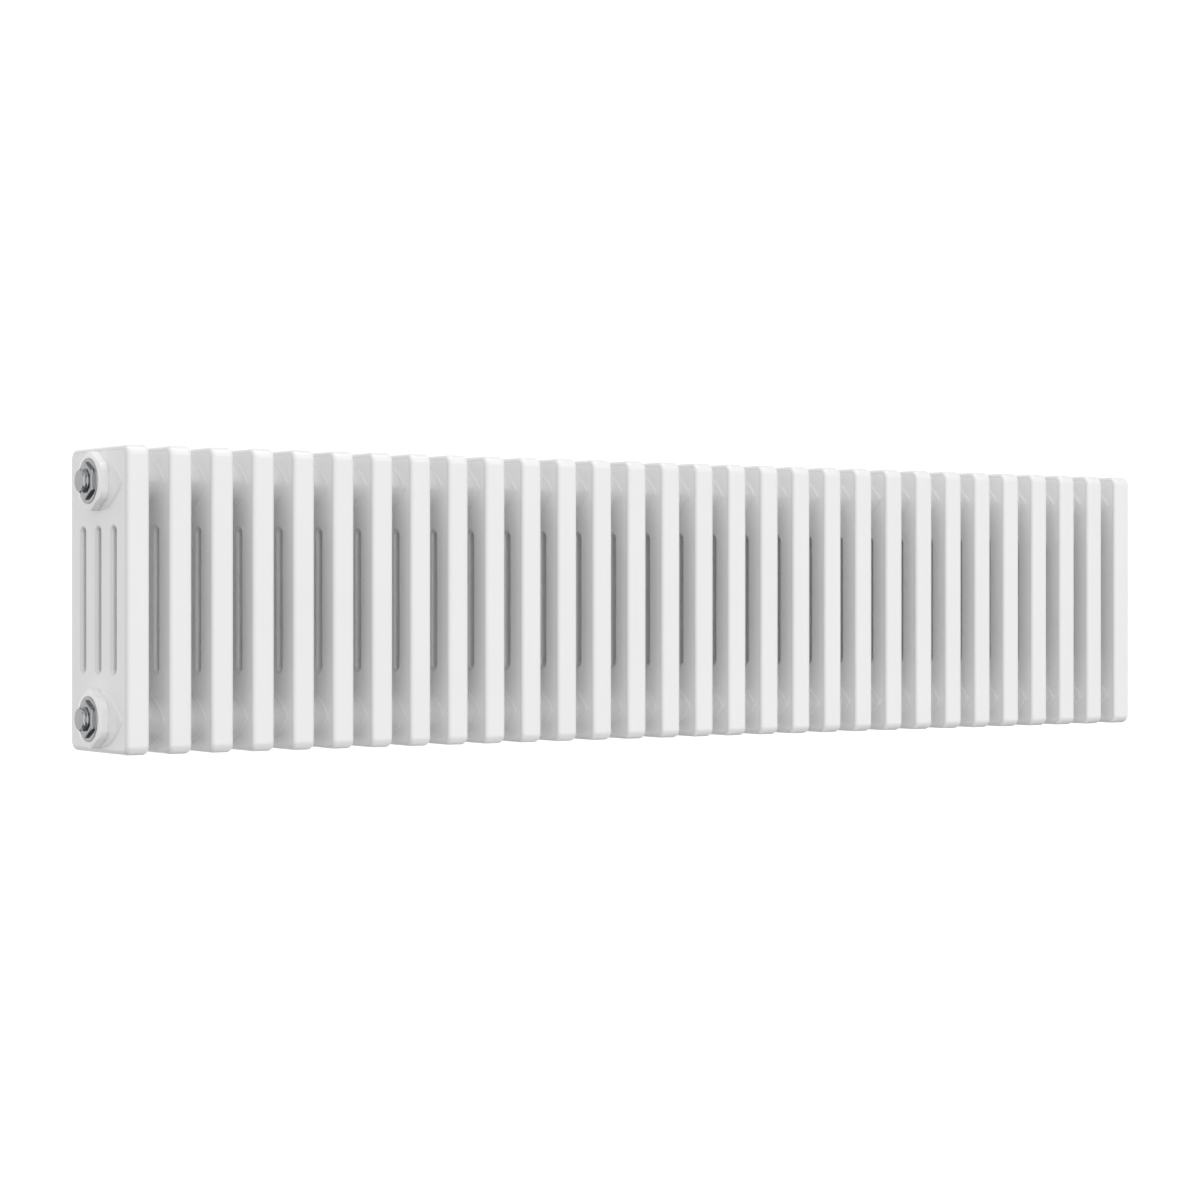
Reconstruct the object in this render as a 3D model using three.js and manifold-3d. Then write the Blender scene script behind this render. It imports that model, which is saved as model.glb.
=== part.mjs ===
// A low four-column steel radiator: 30 welded hollow sections in a row, joined at a top and a
// bottom hub. Each of the four end hubs holds a reducing bush with its seal. The two hubs at the
// left end are closed by chrome plugs, each with a hexagon-headed vent or drain screw; the two at
// the right end are the open flow and return ports.
// Millimetres. X runs along the row, -Y is the room side, +Y the wall side, Z is up.
// The origin is under the middle of the whole object, on the plane of the sections' undersides.

import * as THREE from 'three';
import { ConvexGeometry } from 'three/addons/geometries/ConvexGeometry.js';
import { mergeVertices } from 'three/addons/utils/BufferGeometryUtils.js';
import Module from 'manifold-3d';

const wasm = await Module();
wasm.setup();

// Driving dimensions of the row and of one section
const SECTION_COUNT = 30;
const PITCH = 45;
const THICKNESS = 24.5;
const DEPTH = 135;
const HEIGHT = 300;
const COLUMN_COUNT = 4;
const COLUMN_DEPTH = 27;
const SLOT_LENGTH = 148;
const EDGE_RADIUS = 5;
const CORNER_RADIUS = 10;
const WALL = 1.25;
const GAP = 0.25;

// Hubs: a long pointed swelling on the side of the head, drawn in to a short neck. All its outlines
// are hexagons with parallel sides: two points along Y, two level sides and four slanted ones.
const HUB_SPACING = 232.75;
const HUB_SLANT = 1.5;
const HUB_TIP_INSET = 1.75;
const SWELLING = { tip: 58, rise: 27 };
const NECK = { tip: 34, rise: 22 };
const SEAT = { tip: 52, rise: 26 };
const SEAT_RISE = 1.25;
const TAPPING_RADIUS = 20.5;
const TAPPING_DEPTH = 14;
const BOSS_WALL = 2.5;

// Fittings, measured outwards from the side of the end section
const BUSH_FLATS = 53.4;
const BUSH_CORNER_RADIUS = 29.2;
const BUSH_CHAMFER = 1.6;
const BUSH_REACH = 10.8;
const BUSH_BORE_RADIUS = 10.5;
const BUSH_SPIGOT_DEPTH = 13;
const BUSH_SEAL = { inner: 21.1, outer: 23.7, thickness: 0.9 };
const SEAL_SQUEEZE_ROOM = 0.3;
const RECESS_INNER_RADIUS = 11.6;
const RECESS_OUTER_RADIUS = 16;
const RECESS_DEPTH = 1.4;
const FLANGE_RADIUS = 22.6;
const FLANGE_THICKNESS = 1.3;
const PLUG_FLATS = 33;
const PLUG_CHAMFER = 0.9;
const PLUG_REACH = 15.3;
const PLUG_NUT_SINK = 1.1;
const SCREW_BORE_FLOOR = 3;
const SCREW_FLATS = 21.6;
const SCREW_CHAMFER = 1;
const SCREW_REACH = 20.6;
const STEM_RADIUS = 4;
const NEEDLE = { radius: 1, tip: 3.3, shoulder: 6.3 };
const VENT_RADIUS = 1.5;
const WASHER_RADIUS = 7;
const COUNTERBORE_DEPTH = 2.9;

// Room between a thread and its hole, and between a seal, washer or stem and what is round it
const THREAD_CLEARANCE = 0.35;
const RING_CLEARANCE = 0.4;

// Joined shapes overlap by this much, and cutting shapes run past the material by this much
const JOIN_OVERLAP = 0.5;
const CUT_OVERRUN = 1;

const ROUND_SIDES = 12;
const MERGE_DISTANCE = 1e-4;

// A corner of radius r is drawn as one flat that just touches the arc, with legs of this share of r
const CORNER_LEG = 2 - Math.SQRT2;

const slotWidth = (DEPTH - COLUMN_COUNT * COLUMN_DEPTH) / (COLUMN_COUNT - 1);
const slotPitch = COLUMN_DEPTH + slotWidth;
const slotCentres = Array.from(
  { length: COLUMN_COUNT - 1 },
  (empty, i) => (i - (COLUMN_COUNT - 2) / 2) * slotPitch,
);
const rowShift = (SCREW_REACH - BUSH_REACH) / 2;
const hubHeights = {
  upper: HEIGHT / 2 + HUB_SPACING / 2,
  lower: HEIGHT / 2 - HUB_SPACING / 2,
};

const steel = { color: 0xeeeeee, roughness: 0.35, metalness: 0 };
const chrome = { color: 0xc8c8cc, roughness: 0.08, metalness: 1 };
const rubber = { color: 0x1a1a1a, roughness: 0.8, metalness: 0 };

// ---- geometry helpers ----

// Shapes are drawn in the Y-Z plane and extruded along X
const drawnAcross = new THREE.Matrix4().makeBasis(
  new THREE.Vector3(0, 1, 0),
  new THREE.Vector3(0, 0, 1),
  new THREE.Vector3(1, 0, 0),
);

function toSolid(geometry) {
  const bare = geometry.clone();
  bare.deleteAttribute('normal');
  bare.deleteAttribute('uv');
  const merged = mergeVertices(bare, MERGE_DISTANCE);
  return new wasm.Manifold(new wasm.Mesh({
    numProp: 3,
    vertProperties: Float32Array.from(merged.attributes.position.array),
    triVerts: Uint32Array.from(merged.index.array),
  }));
}

function toGeometry(solid) {
  const mesh = solid.getMesh();
  const geometry = new THREE.BufferGeometry();
  const positions = Float32Array.from(mesh.vertProperties);
  const triangles = Uint32Array.from(mesh.triVerts);
  geometry.setAttribute('position', new THREE.BufferAttribute(positions, 3));
  geometry.setIndex(new THREE.BufferAttribute(triangles, 1));
  geometry.computeVertexNormals();
  return geometry;
}

// A closed outline of [y, z] points, extruded from x = start over a length
function prism(points, start, length) {
  const shape = new THREE.Shape(points.map(([y, z]) => new THREE.Vector2(y, z)));
  const geometry = new THREE.ExtrudeGeometry(shape, { depth: length, bevelEnabled: false });
  return toSolid(geometry.applyMatrix4(drawnAcross).translate(start, 0, 0));
}

// A solid of revolution about X; the profile's [radius, x] points run round the material
function turned(profile, sides = ROUND_SIDES) {
  const points = profile.map(([radius, x]) => new THREE.Vector2(radius, x));
  return toSolid(new THREE.LatheGeometry(points, sides).rotateZ(-Math.PI / 2));
}

function turnedRod(radius, start, end, sides = ROUND_SIDES) {
  return turned([[0, start], [radius, start], [radius, end], [0, end]], sides);
}

function turnedRing(inner, outer, start, end) {
  return turned([[inner, start], [outer, start], [outer, end], [inner, end], [inner, start]]);
}

// An outline extruded along X, with all the edges of its two ends cut off at 45 degrees
function chamferedBar(outline, start, end, chamfer) {
  const shape = new THREE.Shape(outline.map(([y, z]) => new THREE.Vector2(y, z)));
  const geometry = new THREE.ExtrudeGeometry(shape, {
    depth: end - start - 2 * chamfer,
    bevelEnabled: true,
    bevelSegments: 1,
    bevelThickness: chamfer,
    bevelSize: chamfer,
    bevelOffset: -chamfer,
  });
  return toSolid(geometry.applyMatrix4(drawnAcross).translate(start + chamfer, 0, 0));
}

// A hexagon with two of its corners straight up and down
function hexagon(flats) {
  const radius = flats / Math.sqrt(3);
  return Array.from({ length: 6 }, (empty, i) => {
    const angle = Math.PI / 2 + (i * Math.PI) / 3;
    return [radius * Math.cos(angle), radius * Math.sin(angle)];
  });
}

// A hexagon placed in the same way, with its corners cut where they leave a circle
function cutHexagon(flats, cornerRadius) {
  const halfFlat = Math.acos(flats / 2 / cornerRadius);
  return Array.from({ length: 6 }, (empty, i) => (i * Math.PI) / 3)
    .flatMap((middle) => [middle - halfFlat, middle + halfFlat])
    .map((angle) => [cornerRadius * Math.cos(angle), cornerRadius * Math.sin(angle)]);
}

// The hub's hexagonal outline at x, shrunk all round by an inset
function hubLoop({ tip, rise }, x, inset = 0) {
  const z = rise - inset;
  const y = tip - inset * HUB_TIP_INSET;
  const shoulder = y - z * HUB_SLANT;
  const outline = [[y, 0], [shoulder, z], [-shoulder, z], [-y, 0], [-shoulder, -z], [shoulder, -z]];
  return outline.map((point) => new THREE.Vector3(x, ...point));
}

function namedMesh(name, solid, look, position = [0, 0, 0]) {
  const mesh = new THREE.Mesh(toGeometry(solid), new THREE.MeshStandardMaterial(look));
  mesh.name = name;
  mesh.position.set(...position);
  return mesh;
}

// ---- one section, centred on its mid-plane and on its mid-height ----

function cutCornerOutline(depth, height, leg) {
  const y = depth / 2;
  const z = height / 2;
  return [
    [-y + leg, -z], [y - leg, -z], [y, -z + leg], [y, z - leg],
    [y - leg, z], [-y + leg, z], [-y, z - leg], [-y, -z + leg],
  ];
}

// A block of the section's outline set in by a wall, with its long edges cut like its corners
function sectionBlock(inset) {
  const cornerLeg = (CORNER_RADIUS - inset) * CORNER_LEG;
  const edgeLeg = (EDGE_RADIUS - inset) * CORNER_LEG;
  const outline = cutCornerOutline(DEPTH - 2 * inset, HEIGHT - 2 * inset, cornerLeg);
  const side = THICKNESS / 2 - inset;
  return chamferedBar(outline, -side, side, edgeLeg);
}

// The gap between two columns, with pointed ends in place of round ones
function slotCutter(centre) {
  const y = slotWidth / 2;
  const z = SLOT_LENGTH / 2;
  const outline = [
    [centre - y, y - z], [centre, -z], [centre + y, y - z],
    [centre + y, z - y], [centre, z], [centre - y, z - y],
  ];
  return prism(outline, -THICKNESS, 2 * THICKNESS);
}

// The steel left round a slot inside the hollow section
function slotLiner(centre) {
  const y = slotWidth / 2 + WALL;
  const z = SLOT_LENGTH / 2 + WALL;
  const outline = [[centre - y, -z], [centre + y, -z], [centre + y, z], [centre - y, z]];
  return prism(outline, -THICKNESS, 2 * THICKNESS);
}

// A hub on the +X side, welded to the neighbour's hub half-way across the gap
function weldedHub() {
  const side = THICKNESS / 2;
  const neckEnd = (PITCH - GAP) / 2;
  const outside = [
    ...hubLoop(SWELLING, side - WALL / 2),
    ...hubLoop(NECK, neckEnd),
  ];
  const inside = [
    ...hubLoop(SWELLING, side - 2 * WALL, WALL),
    ...hubLoop(NECK, neckEnd + CUT_OVERRUN, WALL),
  ];
  return {
    metal: toSolid(new ConvexGeometry(outside)),
    hollow: toSolid(new ConvexGeometry(inside)),
  };
}

// A hub on the +X side of an end section: a flat seat outside and a boss for the bush inside
function tappedHub() {
  const side = THICKNESS / 2;
  const seat = side + SEAT_RISE;
  const swelling = [...hubLoop(SWELLING, side - WALL / 2), ...hubLoop(SEAT, seat)];
  return {
    metal: toSolid(new ConvexGeometry(swelling)),
    boss: turnedRod(TAPPING_RADIUS + BOSS_WALL, side - TAPPING_DEPTH, seat - WALL),
    hollow: turnedRod(TAPPING_RADIUS, side - TAPPING_DEPTH - CUT_OVERRUN, seat + CUT_OVERRUN),
  };
}

function buildSection(leftHub, rightHub) {
  const places = [];
  for (const z of [HUB_SPACING / 2, -HUB_SPACING / 2]) {
    for (const [hub, turn] of [[rightHub, 0], [leftHub, 180]]) {
      const put = (solid) => solid.rotate([0, 0, turn]).translate([0, 0, z]);
      places.push({ hub, put });
    }
  }
  let outside = sectionBlock(0);
  let hollow = sectionBlock(WALL);
  for (const { hub, put } of places) {
    outside = outside.add(put(hub.metal));
  }
  for (const centre of slotCentres) {
    outside = outside.subtract(slotCutter(centre));
    hollow = hollow.subtract(slotLiner(centre));
  }
  for (const { hub, put } of places) {
    hollow = hub.boss ? hollow.subtract(put(hub.boss)) : hollow;
    hollow = hollow.add(put(hub.hollow));
  }
  return outside.subtract(hollow);
}

// ---- fittings, centred on the hub axis, with x = 0 at the side of the section, outwards +X ----

function buildBush() {
  const back = SEAT_RISE + GAP;
  const outline = cutHexagon(BUSH_FLATS, BUSH_CORNER_RADIUS);
  const head = chamferedBar(outline, back, BUSH_REACH, BUSH_CHAMFER);
  const spigotRadius = TAPPING_RADIUS - THREAD_CLEARANCE;
  const spigot = turnedRod(spigotRadius, -BUSH_SPIGOT_DEPTH, back + BUSH_CHAMFER);
  const sealRecess = turnedRing(
    BUSH_SEAL.inner - RING_CLEARANCE,
    BUSH_SEAL.outer + RING_CLEARANCE,
    back - CUT_OVERRUN,
    back + BUSH_SEAL.thickness + SEAL_SQUEEZE_ROOM,
  );
  const plugRecess = turnedRing(
    RECESS_INNER_RADIUS,
    RECESS_OUTER_RADIUS,
    BUSH_REACH - RECESS_DEPTH,
    BUSH_REACH + CUT_OVERRUN,
  );
  const boreStart = -BUSH_SPIGOT_DEPTH - CUT_OVERRUN;
  const bore = turnedRod(BUSH_BORE_RADIUS, boreStart, BUSH_REACH + CUT_OVERRUN);
  return head.add(spigot).subtract(sealRecess).subtract(plugRecess).subtract(bore);
}

function buildBushSeal() {
  const back = SEAT_RISE + GAP;
  return turnedRing(BUSH_SEAL.inner, BUSH_SEAL.outer, back, back + BUSH_SEAL.thickness);
}

function buildPlug() {
  const back = BUSH_REACH + GAP;
  const front = back + FLANGE_THICKNESS;
  const end = PLUG_REACH + CUT_OVERRUN;
  const flange = turnedRod(FLANGE_RADIUS, back, front, 2 * ROUND_SIDES);
  const nut = chamferedBar(hexagon(PLUG_FLATS), front - PLUG_NUT_SINK, PLUG_REACH, PLUG_CHAMFER);
  const spigot = turnedRod(BUSH_BORE_RADIUS - THREAD_CLEARANCE, 0, back + JOIN_OVERLAP);
  const washerFloor = PLUG_REACH - COUNTERBORE_DEPTH;
  const counterbore = turnedRod(WASHER_RADIUS + RING_CLEARANCE, washerFloor, end);
  const screwBore = turnedRod(STEM_RADIUS + RING_CLEARANCE, SCREW_BORE_FLOOR, end);
  const ventEnd = SCREW_BORE_FLOOR + CUT_OVERRUN;
  const ventHole = turnedRod(VENT_RADIUS, -CUT_OVERRUN, ventEnd, ROUND_SIDES / 2);
  return flange.add(nut).add(spigot).subtract(counterbore).subtract(screwBore).subtract(ventHole);
}

function buildPlugSeal() {
  const floor = BUSH_REACH - RECESS_DEPTH;
  const inner = RECESS_INNER_RADIUS + RING_CLEARANCE;
  const outer = RECESS_OUTER_RADIUS - RING_CLEARANCE;
  return turnedRing(inner, outer, floor + GAP, BUSH_REACH);
}

function buildScrew() {
  const back = PLUG_REACH + GAP;
  const head = chamferedBar(hexagon(SCREW_FLATS), back, SCREW_REACH, SCREW_CHAMFER);
  const stemEnd = back + SCREW_CHAMFER + JOIN_OVERLAP;
  const stem = turned([
    [0, NEEDLE.tip],
    [NEEDLE.radius, NEEDLE.tip],
    [STEM_RADIUS, NEEDLE.shoulder],
    [STEM_RADIUS, stemEnd],
    [0, stemEnd],
  ]);
  return head.add(stem);
}

function buildScrewWasher() {
  const floor = PLUG_REACH - COUNTERBORE_DEPTH;
  const inner = STEM_RADIUS + RING_CLEARANCE;
  return turnedRing(inner, WASHER_RADIUS, floor + GAP, PLUG_REACH - RING_CLEARANCE);
}

// ---- the radiator ----

function sectionRow() {
  const row = new THREE.Group();
  const welded = weldedHub();
  const tapped = tappedHub();
  const middle = buildSection(welded, welded);
  const first = buildSection(tapped, welded);
  const last = buildSection(welded, tapped);
  for (let i = 0; i < SECTION_COUNT; i += 1) {
    const inner = i === SECTION_COUNT - 1 ? last : middle;
    const solid = i === 0 ? first : inner;
    const name = `section_${String(i + 1).padStart(2, '0')}`;
    const x = (i - (SECTION_COUNT - 1) / 2) * PITCH;
    row.add(namedMesh(name, solid, steel, [x, 0, HEIGHT / 2]));
  }
  return row;
}

function endFittings() {
  const plate = ((SECTION_COUNT - 1) * PITCH + THICKNESS) / 2;
  const bush = buildBush();
  const bushSeal = buildBushSeal();
  const plug = buildPlug();
  const plugSeal = buildPlugSeal();
  const screw = buildScrew();
  const washer = buildScrewWasher();
  const ends = new THREE.Group();
  for (const [level, z] of Object.entries(hubHeights)) {
    const duty = level === 'upper' ? 'vent' : 'drain';
    const left = new THREE.Group();
    left.position.set(-plate, 0, z);
    left.rotation.z = Math.PI;
    left.add(namedMesh(`${level}_left_bush`, bush, steel));
    left.add(namedMesh(`${level}_left_bush_seal`, bushSeal, rubber));
    left.add(namedMesh(`${duty}_plug`, plug, chrome));
    left.add(namedMesh(`${duty}_plug_seal`, plugSeal, rubber));
    left.add(namedMesh(`${duty}_screw`, screw, chrome));
    left.add(namedMesh(`${duty}_screw_washer`, washer, rubber));
    const right = new THREE.Group();
    right.position.set(plate, 0, z);
    right.add(namedMesh(`${level}_right_bush`, bush, steel));
    right.add(namedMesh(`${level}_right_bush_seal`, bushSeal, rubber));
    ends.add(left, right);
  }
  return ends;
}

const radiator = new THREE.Group();
radiator.add(sectionRow(), endFittings());
radiator.position.x = rowShift;

export default radiator;
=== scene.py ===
import math

import bpy
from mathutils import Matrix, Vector
from mathutils.geometry import delaunay_2d_cdt


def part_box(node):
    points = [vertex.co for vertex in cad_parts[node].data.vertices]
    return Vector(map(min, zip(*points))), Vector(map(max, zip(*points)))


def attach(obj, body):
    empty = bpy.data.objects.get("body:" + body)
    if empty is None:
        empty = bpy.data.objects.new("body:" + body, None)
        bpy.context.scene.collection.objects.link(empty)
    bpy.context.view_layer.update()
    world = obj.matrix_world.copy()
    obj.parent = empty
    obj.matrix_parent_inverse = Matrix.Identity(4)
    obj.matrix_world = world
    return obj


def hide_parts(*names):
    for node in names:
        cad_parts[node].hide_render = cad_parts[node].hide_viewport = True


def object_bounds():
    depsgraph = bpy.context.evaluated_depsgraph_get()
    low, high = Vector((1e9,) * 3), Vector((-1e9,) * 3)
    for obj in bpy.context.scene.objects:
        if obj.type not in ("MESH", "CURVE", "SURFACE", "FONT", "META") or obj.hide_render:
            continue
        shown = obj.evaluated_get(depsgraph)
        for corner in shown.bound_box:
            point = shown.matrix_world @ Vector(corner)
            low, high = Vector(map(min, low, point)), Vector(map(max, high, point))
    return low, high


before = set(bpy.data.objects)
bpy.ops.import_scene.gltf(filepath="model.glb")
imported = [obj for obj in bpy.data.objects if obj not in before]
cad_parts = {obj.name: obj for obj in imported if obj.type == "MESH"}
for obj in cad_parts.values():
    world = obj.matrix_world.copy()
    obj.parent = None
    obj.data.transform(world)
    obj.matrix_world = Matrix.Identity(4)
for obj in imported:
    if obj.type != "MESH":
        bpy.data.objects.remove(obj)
cad_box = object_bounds()

# A white steel column radiator: 30 sections in a row, white bushes in the four end hubs, chrome
# vent and drain plugs at the left end and open threaded ports at the right end.
# Lengths here are in millimetres and become metres when a mesh is made.
MM = 0.001
SECTION_COUNT = 30
COLUMN_COUNT = 4

# Profile of one section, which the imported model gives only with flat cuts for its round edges
THICKNESS = 24.5
EDGE_RADIUS = 5.0
CORNER_RADIUS = 10.0
SLOT_HALF_WIDTH = 4.5
SLOT_HALF_LENGTH = 74.0
SLOT_EDGE_RADIUS = 3.5
ARC_STEPS = 8

# Painted shade: the share of the paint colour that is left at an edge, down a slot and along the
# hub's step
PAINTED_EDGE_SHADE = 0.84
PAINTED_SLOT_SHADE = 0.87
PAINTED_STEP_SHADE = 0.95

# Hub on the side of a head: a pointed pressed swelling that rises in a low step, then to a neck
LENS_HALF_LENGTH = 58.0
LENS_HALF_HEIGHT = 29.0
LENS_STEP = 0.1
STEP_ROWS = 6
SEAT_RISE = 1.25
NECK_HALF_LENGTH = 30.0
NECK_HALF_HEIGHT = 22.0
HUB_BORE = 17.0
TAPPING_RADIUS = 20.5
TAPPING_DEPTH = 14.0
HUB_SIDES = 96
NECK_ROWS = 12
NORMAL_STEP = 0.001
MERGE_DIGITS = 4
FLAT_TOLERANCE = 1e-5

# Fittings, measured outwards from the side of the end section
HEXAGON_SIDES = 144
HEXAGON_EDGE = 0.5
HEXAGON_ROW = 0.5
FILLET_STEPS = 4
FILLET_SHARE = 0.45
AXIS_RADIUS = 1e-6
BUSH_FLATS = 53.4
BUSH_BORE = 10.5
THREAD_DEPTH = 1.1
THREAD_PITCH = 1.814
THREAD_ROW = 0.3
PLUG_FLATS = 33.0
SCREW_FLATS = 21.6

# What stands for the width across flats in a profile row that has none
ROUND = 0
THREADED = -1

# Rubber rings: start, end, inner radius, outer radius, edge fillet
BUSH_SEAL = (1.5, 2.4, 21.1, 23.7, 0.4)
PLUG_SEAL = (9.65, 10.9, 12.0, 15.6, 0.5)
SCREW_WASHER = (12.65, 14.9, 4.5, 7.0, 0.6)

# Most of a noise texture lies between these two values
NOISE_LOW = 0.3
NOISE_HIGH = 0.7

# The camera stands in front of the left end at mid-height and looks level
CAMERA_PLACE = (-1.808, -2.5743, 0.15)
CAMERA_HEADING = 34.079
CAMERA_LENS = 85.0
FILM_WIDTH = 36.0

# The floor lies far enough below the radiator to stay out of the picture
FLOOR_DROP = 1.15
FLOOR_HALF = 0.8

# Soft lamps aimed at the radiator's middle: name, place, size, power
LAMP_TARGET = (0, 0, 0.15)
LAMPS = [
    ("key", (1.2, -3.6, 2.2), (2.5, 1.6), 10),
    ("overhead", (-0.2, -0.3, 2.6), (3.0, 1.6), 18),
]

# Studio brightness by heading in degrees: 0 behind the radiator, 90 to the right, 180 in front
STUDIO_STRENGTH = 1.0
STUDIO_BY_HEADING = [
    (-180, 1.3), (-135, 1.25), (-88, 1.0), (-72, 0.75), (-54, 0.75), (-40, 0.88),
    (-10, 0.88), (12, 1.15), (60, 1.15), (85, 0.8), (115, 0.8), (140, 1.2), (180, 1.3),
]
# Its share by height, from straight down at -1 over the horizon at 0 to straight up at 1
STUDIO_BY_HEIGHT = [
    (-1, 0.15), (-0.6, 0.15), (-0.25, 1.0), (0.25, 1.0), (0.6, 0.6), (1, 0.6),
]


# ---- reading the frame ----

def middle_of(node):
    low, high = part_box(node)
    return (low + high) / 2


def size_of(node):
    low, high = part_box(node)
    return high - low


first_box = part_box("section_01")
last_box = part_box(f"section_{SECTION_COUNT:02d}")
middle_size = size_of("section_15") / MM
DEPTH = middle_size.y
HEIGHT = middle_size.z
PITCH = (middle_of("section_16").x - middle_of("section_15").x) / MM
HUB_HEIGHTS = {
    "upper": middle_of("upper_left_bush").z,
    "lower": middle_of("lower_left_bush").z,
}
HUB_OFFSET = (HUB_HEIGHTS["upper"] - HUB_HEIGHTS["lower"]) / 2 / MM
LEFT_PLATE = first_box[0].x + SEAT_RISE * MM
RIGHT_PLATE = last_box[1].x - SEAT_RISE * MM


# ---- mesh building with exact normals ----

class Shell:
    """A closed mesh put together from patches. Each patch gives its own normal and painted shade at
    each corner, so patches can meet smoothly or at a crease while sharing their vertices."""

    def __init__(self):
        self.points = []
        self.index = {}
        self.faces = []
        self.normals = []
        self.shades = []

    def vertex(self, point):
        key = tuple(round(c, MERGE_DIGITS) for c in point)
        if key not in self.index:
            self.index[key] = len(self.points)
            self.points.append([c * MM for c in point])
        return self.index[key]

    def face(self, points, normals, shades):
        corners = [self.vertex(p) for p in points]
        if len(set(corners)) < 3:
            return
        kept = [i for i, c in enumerate(corners) if corners.index(c) == i]
        a, b, c = (Vector(points[i]) for i in kept[:3])
        inward = (b - a).cross(c - a).dot(Vector(normals[kept[0]])) < 0
        order = kept[::-1] if inward else kept
        self.faces.append([corners[i] for i in order])
        self.normals.extend(tuple(normals[i]) for i in order)
        self.shades.extend(c for i in order for c in (shades[i], shades[i], shades[i], 1))

    def grid(self, rows):
        """Closed rows of (point, normal, shade), joined row to row into quads."""
        count = len(rows[0])
        for row, after in zip(rows, rows[1:]):
            for i in range(count):
                j = (i + 1) % count
                corners = (row[i], row[j], after[j], after[i])
                self.face(*zip(*corners))

    def mesh(self, name):
        made = bpy.data.meshes.new(name)
        made.from_pydata(self.points, [], self.faces)
        made.polygons.foreach_set("use_smooth", [True] * len(made.polygons))
        made.normals_split_custom_set(self.normals)
        # The painted shade goes into a colour attribute at each corner
        shades = made.color_attributes.new("shade", "FLOAT_COLOR", "CORNER")
        shades.data.foreach_set("color", self.shades)
        made.update()
        return made


def arc_angles(start, end, steps):
    return [math.radians(start + (end - start) * i / steps) for i in range(steps + 1)]


# ---- one section, centred on its mid-plane and on its mid-height ----

def outline_stations():
    """(centre y, centre z, direction) of each point of the section's round-cornered outline."""
    y = DEPTH / 2 - CORNER_RADIUS
    z = HEIGHT / 2 - CORNER_RADIUS
    corners = [(y, z, 0), (-y, z, 90), (-y, -z, 180), (y, -z, 270)]
    return [(cy, cz, a) for cy, cz, turn in corners for a in arc_angles(turn, turn + 90, ARC_STEPS)]


def slot_stations(centre):
    z = SLOT_HALF_LENGTH - SLOT_EDGE_RADIUS - SLOT_HALF_WIDTH
    ends = [(z, 0), (-z, 180)]
    return [(centre, cz, a) for cz, turn in ends for a in arc_angles(turn, turn + 180, 2 * ARC_STEPS)]


def along(station, reach):
    cy, cz, a = station
    return cy + reach * math.cos(a), cz + reach * math.sin(a)


def rounded_rows(stations, reach, radius, half, side, outward):
    """The wall of a contour and the rounding that joins it to the side face at x = half. Painted
    shade darkens the colour where the rounding starts and all down a slot."""
    rows = []
    wall_painted_shade = 1 if outward > 0 else PAINTED_SLOT_SHADE
    for turn in arc_angles(0, 90, ARC_STEPS):
        x = half - radius + radius * math.sin(turn)
        inset = radius * (1 - math.cos(turn))
        shade = wall_painted_shade + (PAINTED_EDGE_SHADE - wall_painted_shade) * math.sin(turn) ** 4
        row = []
        for station in stations:
            y, z = along(station, reach - outward * inset)
            lean = outward * math.cos(turn)
            a = station[2]
            normal = (side * math.sin(turn), lean * math.cos(a), lean * math.sin(a))
            row.append(((side * x, y, z), normal, shade))
        rows.append(row)
    return rows


def contour(shell, stations, reach, radius, outward):
    """Both roundings of a contour with the straight wall between them. Returns its face loop."""
    half = THICKNESS / 2
    left = rounded_rows(stations, reach, radius, half, -1, outward)
    right = rounded_rows(stations, reach, radius, half, 1, outward)
    shell.grid(left)
    shell.grid([left[0], right[0]])
    shell.grid(right)
    return [along(s, reach - outward * radius) for s in stations]


def lens_reach(angle, scale=1.0):
    """Distance from the hub's middle to the outline of two equal arcs that meet in points."""
    a, b = LENS_HALF_LENGTH, LENS_HALF_HEIGHT
    offset = (a * a - b * b) / (2 * b)
    rise = abs(math.sin(angle))
    share = (offset * rise + math.sqrt((offset * rise) ** 2 + a * a)) / (a * a)
    return scale / share


def neck_reach(angle):
    return 1 / math.hypot(math.cos(angle) / NECK_HALF_LENGTH, math.sin(angle) / NECK_HALF_HEIGHT)


def step_row(t):
    """Reach and rise of the low pressed step round the swelling, t from 0 outside to 1 inside."""
    def at(angle):
        return lens_reach(angle, 1 - LENS_STEP * t), SEAT_RISE * math.sin(t * math.pi / 2)
    return at


def step_painted_shade(t):
    """Painted shade across the step: darker along both of its edges than between them."""
    return 1 - (1 - PAINTED_STEP_SHADE) * abs(2 * t - 1)


def neck_row(t):
    """Reach and rise of the sweep from the step up to the round neck half-way to the next hub."""
    rise = (PITCH - THICKNESS) / 2 - SEAT_RISE
    turn = t * math.pi / 2

    def at(angle):
        start = lens_reach(angle, 1 - LENS_STEP)
        reach = start + (neck_reach(angle) - start) * math.sin(turn)
        return reach, SEAT_RISE + rise * (1 - math.cos(turn))
    return at


def swept(shell, make_row, shade_at, steps, side, hub_z):
    """A hub patch: make_row(t) gives a function of angle. Normals come from small differences."""
    angles = [2 * math.pi * i / HUB_SIDES for i in range(HUB_SIDES)]

    def place(t, angle):
        reach, rise = make_row(t)(angle)
        y, z = reach * math.cos(angle), reach * math.sin(angle)
        return Vector((side * (THICKNESS / 2 + rise), y, hub_z + z))

    rows = []
    for k in range(steps + 1):
        t = k / steps
        t0, t1 = max(t - NORMAL_STEP, 0), min(t + NORMAL_STEP, 1)
        row = []
        for angle in angles:
            down = place(t1, angle) - place(t0, angle)
            across = place(t, angle + NORMAL_STEP) - place(t, angle - NORMAL_STEP)
            normal = down.cross(across).normalized()
            outwards = Vector((side, NORMAL_STEP * math.cos(angle), NORMAL_STEP * math.sin(angle)))
            normal = normal if normal.dot(outwards) > 0 else -normal
            row.append((tuple(place(t, angle)), normal, shade_at(t)))
        rows.append(row)
    shell.grid(rows)


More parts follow.
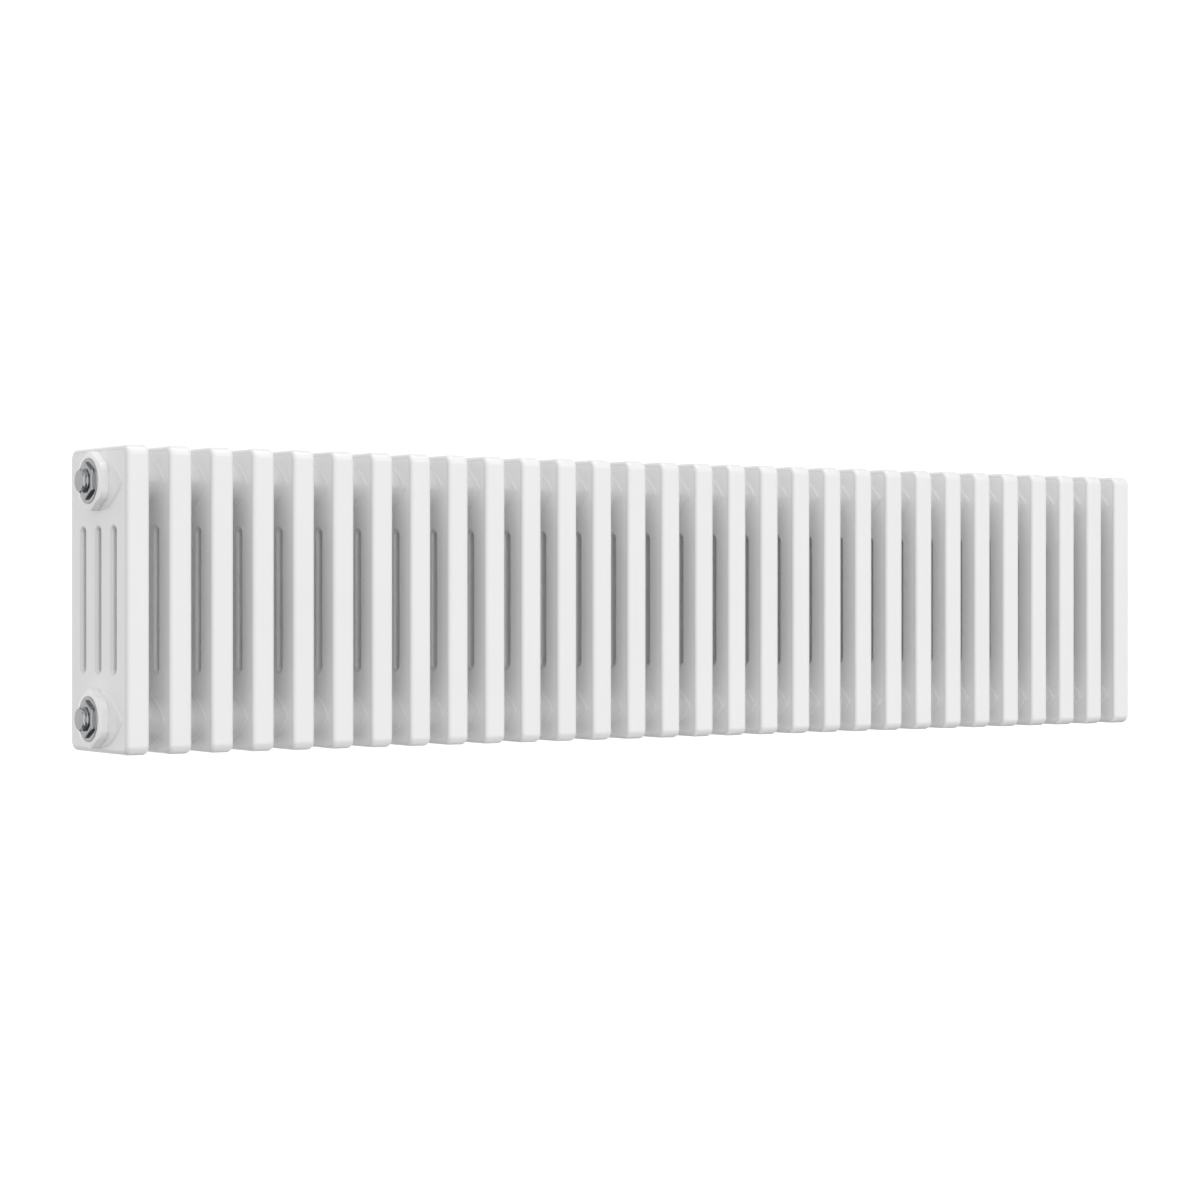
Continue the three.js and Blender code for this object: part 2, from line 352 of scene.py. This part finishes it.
def ring_row(x, radius, hub_z, normal_x, normal_r):
    row = []
    for i in range(HUB_SIDES):
        angle = 2 * math.pi * i / HUB_SIDES
        y, z = math.cos(angle), math.sin(angle)
        normal = (normal_x, normal_r * y, normal_r * z)
        row.append(((x, radius * y, hub_z + radius * z), normal, 1))
    return row


def shaped_row(x, reach, hub_z, side):
    row = []
    for i in range(HUB_SIDES):
        angle = 2 * math.pi * i / HUB_SIDES
        r = reach(angle)
        row.append(((x, r * math.cos(angle), hub_z + r * math.sin(angle)), (side, 0, 0), 1))
    return row


def hub_side(shell, side, hub_z, tapped):
    """The swelling on one side of a head, and its bore down to the section's mid-plane."""
    swept(shell, step_row, step_painted_shade, STEP_ROWS, side, hub_z)
    if tapped:
        mouth = THICKNESS / 2 + SEAT_RISE
        floor = THICKNESS / 2 - TAPPING_DEPTH
        seat = shaped_row(side * mouth, lambda a: lens_reach(a, 1 - LENS_STEP), hub_z, side)
        shell.grid([seat, ring_row(side * mouth, TAPPING_RADIUS, hub_z, side, 0)])
        walls = [ring_row(side * x, TAPPING_RADIUS, hub_z, 0, -1) for x in (mouth, floor)]
        shell.grid(walls)
        steps = [ring_row(side * floor, r, hub_z, side, 0) for r in (TAPPING_RADIUS, HUB_BORE)]
        shell.grid(steps)
        return side * floor
    swept(shell, neck_row, lambda t: 1, NECK_ROWS, side, hub_z)
    end = PITCH / 2
    rim = shaped_row(side * end, neck_reach, hub_z, side)
    shell.grid([rim, ring_row(side * end, HUB_BORE, hub_z, side, 0)])
    return side * end


def side_plate(shell, side, outer, slots, hubs):
    """The flat side face between the outline, the slots and the hub swellings."""
    loops = [outer, *slots]
    for hub_z in hubs:
        angles = [2 * math.pi * i / HUB_SIDES for i in range(HUB_SIDES)]
        loops.append([
            (lens_reach(a) * math.cos(a), hub_z + lens_reach(a) * math.sin(a)) for a in angles
        ])
    points = [Vector(p) for loop in loops for p in loop]
    edges, start = [], 0
    for loop in loops:
        n = len(loop)
        edges.extend((start + i, start + (i + 1) % n) for i in range(n))
        start += n
    found = delaunay_2d_cdt(points, edges, [], 0, FLAT_TOLERANCE)
    corners, triangles = found[0], found[2]
    slot_reach = SLOT_HALF_WIDTH + SLOT_EDGE_RADIUS
    slot_straight = SLOT_HALF_LENGTH - slot_reach
    x = side * THICKNESS / 2
    for triangle in triangles:
        y = sum(corners[i].x for i in triangle) / 3
        z = sum(corners[i].y for i in triangle) / 3
        in_slot = any(
            math.hypot(y - c, max(abs(z) - slot_straight, 0)) < slot_reach for c in slot_centres()
        )
        in_hub = any(
            math.hypot(y, z - h) < lens_reach(math.atan2(z - h, y)) for h in hubs
        )
        if in_slot or in_hub:
            continue
        shell.face([(x, *corners[i]) for i in triangle], [(side, 0, 0)] * 3, [1] * 3)


def slot_centres():
    pitch = (DEPTH + 2 * SLOT_HALF_WIDTH) / COLUMN_COUNT
    return [(i - (COLUMN_COUNT - 2) / 2) * pitch for i in range(COLUMN_COUNT - 1)]


def section_mesh(name, left_tapped=False, right_tapped=False):
    shell = Shell()
    outer = contour(shell, outline_stations(), CORNER_RADIUS, EDGE_RADIUS, 1)
    slots = [
        contour(shell, slot_stations(c), SLOT_HALF_WIDTH, SLOT_EDGE_RADIUS, -1)
        for c in slot_centres()
    ]
    hubs = (HUB_OFFSET, -HUB_OFFSET)
    for side in (-1, 1):
        side_plate(shell, side, outer, slots, hubs)
    for hub_z in hubs:
        left = hub_side(shell, -1, hub_z, left_tapped)
        right = hub_side(shell, 1, hub_z, right_tapped)
        shell.grid([ring_row(x, HUB_BORE, hub_z, 0, -1) for x in (left, right)])
    return shell.mesh(name)


# ---- turned and hexagonal fittings, with x = 0 at the side of the section, outwards +X ----

def filleted(points):
    """A profile of (x, radius, fillet, flats) points with each corner swapped for a short curve."""
    done = []
    for i, (x, r, fillet, flats) in enumerate(points):
        if fillet == 0 or i in (0, len(points) - 1):
            done.append((x, r, flats))
            continue
        here = Vector((x, r))
        back = Vector(points[i - 1][:2]) - here
        ahead = Vector(points[i + 1][:2]) - here
        start = here + back.normalized() * min(fillet, back.length * FILLET_SHARE)
        end = here + ahead.normalized() * min(fillet, ahead.length * FILLET_SHARE)
        for k in range(FILLET_STEPS + 1):
            t = k / FILLET_STEPS
            p = start * (1 - t) ** 2 + here * (2 * t * (1 - t)) + end * t ** 2
            done.append((p.x, p.y, flats))
    return done


def divided(profile):
    """The profile with extra rows where it is hexagonal, so that the flats end in clean curves."""
    rows = [profile[0]]
    for before, after in zip(profile, profile[1:]):
        length = math.hypot(after[0] - before[0], after[1] - before[1])
        row = THREAD_ROW if after[2] == THREADED else HEXAGON_ROW
        count = max(1, math.ceil(length / row)) if before[2] and after[2] else 1
        for k in range(1, count + 1):
            t = k / count
            x = before[0] + (after[0] - before[0]) * t
            rows.append((x, before[1] + (after[1] - before[1]) * t, after[2]))
    return rows


def hexagon_reach(flats, angle):
    turn = (angle + math.pi / 6) % (math.pi / 3) - math.pi / 6
    return flats / 2 / math.cos(turn)


def reach_at(radius, flats, angle):
    """The smaller of the round radius and the hexagon, with their edge slightly rounded."""
    if flats == ROUND:
        return radius
    across = hexagon_reach(flats, angle)
    return (radius + across - math.hypot(radius - across, HEXAGON_EDGE)) / 2


def thread_reach(x, angle):
    """The wavy radius of the inside thread, which winds along the bore."""
    phase = (x / THREAD_PITCH - angle / (2 * math.pi)) % 1
    return BUSH_BORE - THREAD_DEPTH * (1 - abs(2 * phase - 1))


def turned_mesh(name, points, closed):
    """A part turned round the X axis, from its profile of (x, radius, fillet, flats) points. Rows
    with a width across flats are hexagonal wherever the hexagon lies inside the radius."""
    profile = divided(filleted(points))
    vertices, rings = [], []
    for x, radius, flats in profile:
        if radius < AXIS_RADIUS:
            rings.append([len(vertices)])
            vertices.append((x * MM, 0, 0))
            continue
        ring = []
        for i in range(HEXAGON_SIDES):
            angle = 2 * math.pi * i / HEXAGON_SIDES
            r = thread_reach(x, angle) if flats == THREADED else reach_at(radius, flats, angle)
            ring.append(len(vertices))
            vertices.append((x * MM, r * math.cos(angle) * MM, r * math.sin(angle) * MM))
        rings.append(ring)
    faces = []
    for ring, after in zip(rings, rings[1:] + (rings[:1] if closed else [])):
        faces.extend(ring_faces(ring, after))
    made = bpy.data.meshes.new(name)
    made.from_pydata(vertices, [], faces)
    made.polygons.foreach_set("use_smooth", [True] * len(made.polygons))
    made.update()
    return made


def ring_faces(ring, after):
    count = max(len(ring), len(after))
    faces = []
    for i in range(count):
        j = (i + 1) % count
        inner = [ring[i % len(ring)], ring[j % len(ring)]]
        outer = [after[j % len(after)], after[i % len(after)]]
        corners = inner + outer
        faces.append([c for k, c in enumerate(corners) if corners.index(c) == k])
    return faces


def bush_mesh():
    """Reducing bush: a hexagon with turned-off corners, a spigot in the hub, a threaded bore."""
    return turned_mesh("reducing_bush", [
        (10.8, 11.6, 0, ROUND),
        (9.4, 11.6, 0.2, ROUND),
        (9.4, 16.0, 0.2, ROUND),
        (10.8, 16.0, 0.3, ROUND),
        (10.8, 23.6, 1.6, ROUND),
        (10.1, 26.0, 0, BUSH_FLATS),
        (9.3, 29.1, 0.5, BUSH_FLATS),
        (1.6, 29.1, 0.2, BUSH_FLATS),
        (1.3, 28.6, 0.1, BUSH_FLATS),
        (1.3, 24.1, 0.2, ROUND),
        (2.7, 24.1, 0.2, ROUND),
        (2.7, 20.1, 0.2, ROUND),
        (-13.0, 20.1, 1.0, ROUND),
        (-13.0, 11.4, 0.3, ROUND),
        (-12.2, BUSH_BORE, 0, THREADED),
        (9.0, BUSH_BORE, 0, THREADED),
        (10.4, 11.1, 0.2, ROUND),
        (10.8, 11.3, 0, ROUND),
    ], closed=True)


def plug_mesh():
    """Chrome plug: a round flange, a hexagon with strongly bevelled corners and a hollow spigot."""
    return turned_mesh("chrome_plug", [
        (0.0, 4.5, 0, ROUND),
        (12.4, 4.5, 0.1, ROUND),
        (12.4, 7.4, 0.1, ROUND),
        (15.3, 7.4, 0.3, ROUND),
        (15.3, 14.6, 0.4, ROUND),
        (15.1, 15.9, 0, PLUG_FLATS),
        (14.2, 18.9, 0.3, PLUG_FLATS),
        (12.3, 19.1, 0.2, PLUG_FLATS),
        (11.9, 17.5, 0, PLUG_FLATS),
        (11.9, 17.6, 0.1, ROUND),
        (11.75, 21.6, 0.4, ROUND),
        (11.45, 22.6, 0.2, ROUND),
        (11.05, 22.6, 0.2, ROUND),
        (11.05, 10.1, 0.2, ROUND),
        (0.0, 10.1, 0.5, ROUND),
        (0.0, 5.0, 0, ROUND),
    ], closed=True)


def screw_mesh():
    """Chrome screw: a flat-ended hexagon head on a flared collar, with a stem and a seating cone."""
    return turned_mesh("chrome_screw", [
        (20.6, 0.0, 0, ROUND),
        (20.6, 10.4, 0.6, ROUND),
        (20.2, 10.9, 0, SCREW_FLATS),
        (19.2, 12.5, 0.3, SCREW_FLATS),
        (18.5, 12.5, 0.3, SCREW_FLATS),
        (17.6, 10.9, 0, SCREW_FLATS),
        (17.4, 10.2, 0.15, ROUND),
        (15.8, 12.2, 0.15, ROUND),
        (15.55, 12.1, 0.1, ROUND),
        (15.55, 4.0, 0.2, ROUND),
        (6.3, 4.0, 0.2, ROUND),
        (3.3, 1.0, 0.2, ROUND),
        (3.3, 0.0, 0, ROUND),
    ], closed=False)


def ring_mesh(name, start, end, inner, outer, fillet):
    middle = (inner + outer) / 2
    return turned_mesh(name, [
        (start, middle, 0, ROUND),
        (start, outer, fillet, ROUND),
        (end, outer, fillet, ROUND),
        (end, inner, fillet, ROUND),
        (start, inner, fillet, ROUND),
        (start, middle, 0, ROUND),
    ], closed=True)


# ---- materials ----

def link(tree, source, output, target, name):
    tree.links.new(source.outputs[output], target.inputs[name])


def new_material(name, roughness, metallic=0.0):
    made = bpy.data.materials.new(name)
    made.use_nodes = True
    shader = made.node_tree.nodes["Principled BSDF"]
    shader.inputs["Metallic"].default_value = metallic
    shader.inputs["Roughness"].default_value = roughness
    return made, made.node_tree, shader


def surface_place(tree):
    """Object coordinates moved by the object's own place, so that no two sections match."""
    coordinates = tree.nodes.new("ShaderNodeTexCoord")
    info = tree.nodes.new("ShaderNodeObjectInfo")
    shifted = tree.nodes.new("ShaderNodeVectorMath")
    shifted.operation = "ADD"
    link(tree, coordinates, "Object", shifted, 0)
    link(tree, info, "Location", shifted, 1)
    return shifted


def noise(tree, place, scale, detail=2.0, stretch=None):
    texture = tree.nodes.new("ShaderNodeTexNoise")
    texture.inputs["Scale"].default_value = scale
    texture.inputs["Detail"].default_value = detail
    if stretch:
        mapping = tree.nodes.new("ShaderNodeMapping")
        mapping.inputs["Scale"].default_value = stretch
        link(tree, place, 0, mapping, "Vector")
        place = mapping
    link(tree, place, 0, texture, "Vector")
    return texture


def vary_colour(tree, texture, shader, dark, light):
    ramp = tree.nodes.new("ShaderNodeValToRGB")
    ramp.color_ramp.elements[0].position = NOISE_LOW
    ramp.color_ramp.elements[0].color = (*dark, 1)
    ramp.color_ramp.elements[1].position = NOISE_HIGH
    ramp.color_ramp.elements[1].color = (*light, 1)
    link(tree, texture, "Fac", ramp, "Fac")
    link(tree, ramp, "Color", shader, "Base Color")


def vary_roughness(tree, texture, shader, low, high):
    spread = tree.nodes.new("ShaderNodeMapRange")
    spread.inputs["From Min"].default_value = NOISE_LOW
    spread.inputs["From Max"].default_value = NOISE_HIGH
    spread.inputs["To Min"].default_value = low
    spread.inputs["To Max"].default_value = high
    link(tree, texture, "Fac", spread, "Value")
    link(tree, spread, "Result", shader, "Roughness")


def add_bump(tree, textures, shader, strength, depth):
    """One bump after another, each texture adding its own fine relief."""
    before = None
    for texture in textures:
        bump = tree.nodes.new("ShaderNodeBump")
        bump.inputs["Strength"].default_value = strength
        bump.inputs["Distance"].default_value = depth
        link(tree, texture, "Fac", bump, "Height")
        if before:
            link(tree, before, "Normal", bump, "Normal")
        before = bump
    link(tree, before, "Normal", shader, "Normal")


def apply_painted_shade(tree, shader):
    """Multiplies the paint colour by the painted shade stored at the mesh's corners."""
    colour = shader.inputs["Base Color"].links[0].from_node
    stored = tree.nodes.new("ShaderNodeAttribute")
    stored.attribute_name = "shade"
    product = tree.nodes.new("ShaderNodeVectorMath")
    product.operation = "MULTIPLY"
    link(tree, colour, "Color", product, 0)
    link(tree, stored, "Color", product, 1)
    link(tree, product, "Vector", shader, "Base Color")


def enamel(name, dark, light, rough):
    """Baked white enamel: even, softly glossy, with a faint orange-peel ripple."""
    made, tree, shader = new_material(name, rough)
    place = surface_place(tree)
    vary_colour(tree, noise(tree, place, 9), shader, dark, light)
    vary_roughness(tree, noise(tree, place, 30, 3), shader, rough - 0.03, rough + 0.04)
    ripples = [noise(tree, place, 320), noise(tree, place, 1400, 3)]
    add_bump(tree, ripples, shader, strength=0.05, depth=0.0002)
    shader.inputs["Coat Weight"].default_value = 0.8
    shader.inputs["Coat Roughness"].default_value = 0.06
    return made


def chrome(name, dark, light, rough):
    """Polished chrome plate with fine turning marks and a few duller patches."""
    made, tree, shader = new_material(name, rough, metallic=1.0)
    place = surface_place(tree)
    vary_colour(tree, noise(tree, place, 60), shader, dark, light)
    vary_roughness(tree, noise(tree, place, 220, 4), shader, rough - 0.02, rough + 0.05)
    marks = noise(tree, place, 500, 2, stretch=(6, 1, 1))
    add_bump(tree, [marks], shader, strength=0.04, depth=0.0001)
    return made


def rubber(name, dark, light):
    """Matt moulded rubber, finely grained."""
    made, tree, shader = new_material(name, 0.8)
    place = surface_place(tree)
    vary_colour(tree, noise(tree, place, 150), shader, dark, light)
    vary_roughness(tree, noise(tree, place, 400, 3), shader, 0.72, 0.9)
    add_bump(tree, [noise(tree, place, 2500, 2)], shader, strength=0.3, depth=0.0002)
    return made


def floor_paint():
    made, tree, shader = new_material("floor_paint", 0.85)
    place = surface_place(tree)
    vary_colour(tree, noise(tree, place, 1.5), shader, (0.78, 0.78, 0.78), (0.80, 0.80, 0.80))
    return made


looks = {
    "section_enamel": enamel("section_enamel", (0.87, 0.87, 0.87), (0.885, 0.885, 0.885), 0.34),
    "bush_enamel": enamel("bush_enamel", (0.93, 0.93, 0.93), (0.945, 0.945, 0.945), 0.28),
    "plug_chrome": chrome("plug_chrome", (0.40, 0.405, 0.42), (0.44, 0.445, 0.46), 0.06),
    "screw_chrome": chrome("screw_chrome", (0.40, 0.405, 0.42), (0.44, 0.445, 0.46), 0.06),
    "seal_rubber": rubber("seal_rubber", (0.020, 0.020, 0.020), (0.035, 0.035, 0.035)),
    "washer_rubber": rubber("washer_rubber", (0.025, 0.025, 0.025), (0.040, 0.040, 0.040)),
}
# The sections' enamel is darkened by painted shade at its edges, slots and hub steps
section_look = looks["section_enamel"].node_tree
apply_painted_shade(section_look, section_look.nodes["Principled BSDF"])


# ---- the pieces, each on its body ----

def add_piece(name, mesh, slot, body, node, place, turned=False, flat_shading=False):
    piece = bpy.data.objects.new(name, mesh)
    bpy.context.scene.collection.objects.link(piece)
    piece.location = place
    if turned:
        piece.rotation_euler.z = math.pi
    if not mesh.materials:
        mesh.materials.append(looks[slot])
    if flat_shading:
        weighted = piece.modifiers.new("even_flats", "WEIGHTED_NORMAL")
        weighted.weight = 100
        weighted.keep_sharp = True
    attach(piece, body)
    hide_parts(node)
    return piece


def add_sections():
    middle = section_mesh("middle_section")
    first = section_mesh("first_section", left_tapped=True)
    last = section_mesh("last_section", right_tapped=True)
    centre_z = middle_of("section_15").z
    start_x = LEFT_PLATE + THICKNESS / 2 * MM
    for i in range(SECTION_COUNT):
        node = f"section_{i + 1:02d}"
        mesh = {0: first, SECTION_COUNT - 1: last}.get(i, middle)
        place = (start_x + i * PITCH * MM, 0, centre_z)
        add_piece(f"{node}_steel", mesh, "section_enamel", "radiator", node, place)


def add_fitting(node, mesh, slot, body, level, left=True):
    place = (LEFT_PLATE if left else RIGHT_PLATE, 0, HUB_HEIGHTS[level])
    add_piece(f"{node}_fine", mesh, slot, body, node, place, turned=left, flat_shading=True)


def add_fittings():
    bush = bush_mesh()
    bush_seal = ring_mesh("bush_seal", *BUSH_SEAL)
    plug = plug_mesh()
    plug_seal = ring_mesh("plug_seal", *PLUG_SEAL)
    screw = screw_mesh()
    washer = ring_mesh("screw_washer", *SCREW_WASHER)
    for level, duty in (("upper", "vent"), ("lower", "drain")):
        for side in ("left", "right"):
            left = side == "left"
            name = f"{level}_{side}_bush"
            add_fitting(name, bush, "bush_enamel", "radiator", level, left)
            add_fitting(f"{name}_seal", bush_seal, "seal_rubber", "radiator", level, left)
        add_fitting(f"{duty}_plug", plug, "plug_chrome", "radiator", level)
        add_fitting(f"{duty}_plug_seal", plug_seal, "seal_rubber", "radiator", level)
        add_fitting(f"{duty}_screw", screw, "screw_chrome", f"{duty}_screw", level)
        add_fitting(f"{duty}_screw_washer", washer, "washer_rubber", f"{duty}_washer", level)


# ---- floor, light and camera ----

def add_floor():
    z = cad_box[0].z - FLOOR_DROP
    mesh = bpy.data.meshes.new("floor")
    signs = [(-1, -1), (1, -1), (1, 1), (-1, 1)]
    corners = [(x * FLOOR_HALF, y * FLOOR_HALF, z) for x, y in signs]
    mesh.from_pydata(corners, [], [(0, 1, 2, 3)])
    mesh.materials.append(floor_paint())
    floor = bpy.data.objects.new("floor", mesh)
    bpy.context.scene.collection.objects.link(floor)


def add_area_light(name, place, size, energy):
    lamp = bpy.data.lights.new(name, "AREA")
    lamp.shape = "RECTANGLE"
    lamp.size, lamp.size_y = size
    lamp.energy = energy
    made = bpy.data.objects.new(name, lamp)
    made.location = place
    made.rotation_euler = (Vector(LAMP_TARGET) - Vector(place)).to_track_quat("-Z", "Y").to_euler()
    bpy.context.scene.collection.objects.link(made)


def brightness_ramp(tree, value, low, high, steps):
    """A colour ramp over a value from low to high, through (value, brightness) steps."""
    share = tree.nodes.new("ShaderNodeMapRange")
    share.inputs["From Min"].default_value = low
    share.inputs["From Max"].default_value = high
    ramp = tree.nodes.new("ShaderNodeValToRGB")
    ramp.color_ramp.interpolation = "EASE"
    stops = ramp.color_ramp.elements
    for _ in steps[2:]:
        stops.new(0.5)
    for stop, (at, level) in zip(stops, steps):
        stop.position = (at - low) / (high - low)
        stop.color = (level, level, level, 1)
    link(tree, value[0], value[1], share, "Value")
    link(tree, share, "Result", ramp, "Fac")
    return ramp


def add_world():
    """A soft white studio: brightest in front, dimmer at both ends and above, dimmest below."""
    world = bpy.data.worlds.new("studio")
    world.use_nodes = True
    tree = world.node_tree
    background = tree.nodes["Background"]
    background.inputs["Strength"].default_value = STUDIO_STRENGTH
    coordinates = tree.nodes.new("ShaderNodeTexCoord")
    axes = tree.nodes.new("ShaderNodeSeparateXYZ")
    heading = tree.nodes.new("ShaderNodeMath")
    heading.operation = "ARCTAN2"
    link(tree, coordinates, "Generated", axes, "Vector")
    link(tree, axes, "X", heading, 0)
    link(tree, axes, "Y", heading, 1)
    turns = [(math.radians(at), level) for at, level in STUDIO_BY_HEADING]
    round_about = brightness_ramp(tree, (heading, "Value"), -math.pi, math.pi, turns)
    up_and_down = brightness_ramp(tree, (axes, "Z"), -1, 1, STUDIO_BY_HEIGHT)
    product = tree.nodes.new("ShaderNodeVectorMath")
    product.operation = "MULTIPLY"
    link(tree, round_about, "Color", product, 0)
    link(tree, up_and_down, "Color", product, 1)
    link(tree, product, "Vector", background, "Color")
    bpy.context.scene.world = world


def add_camera():
    lens = bpy.data.cameras.new("camera")
    lens.lens = CAMERA_LENS
    lens.sensor_width = FILM_WIDTH
    camera = bpy.data.objects.new("camera", lens)
    camera.location = CAMERA_PLACE
    camera.rotation_euler = (math.radians(90), 0, -math.radians(CAMERA_HEADING))
    bpy.context.scene.collection.objects.link(camera)
    bpy.context.scene.camera = camera


add_sections()
add_fittings()
add_floor()
add_world()
for name, place, size, energy in LAMPS:
    add_area_light(name, place, size, energy)
add_camera()
bpy.context.scene.view_settings.view_transform = "Standard"
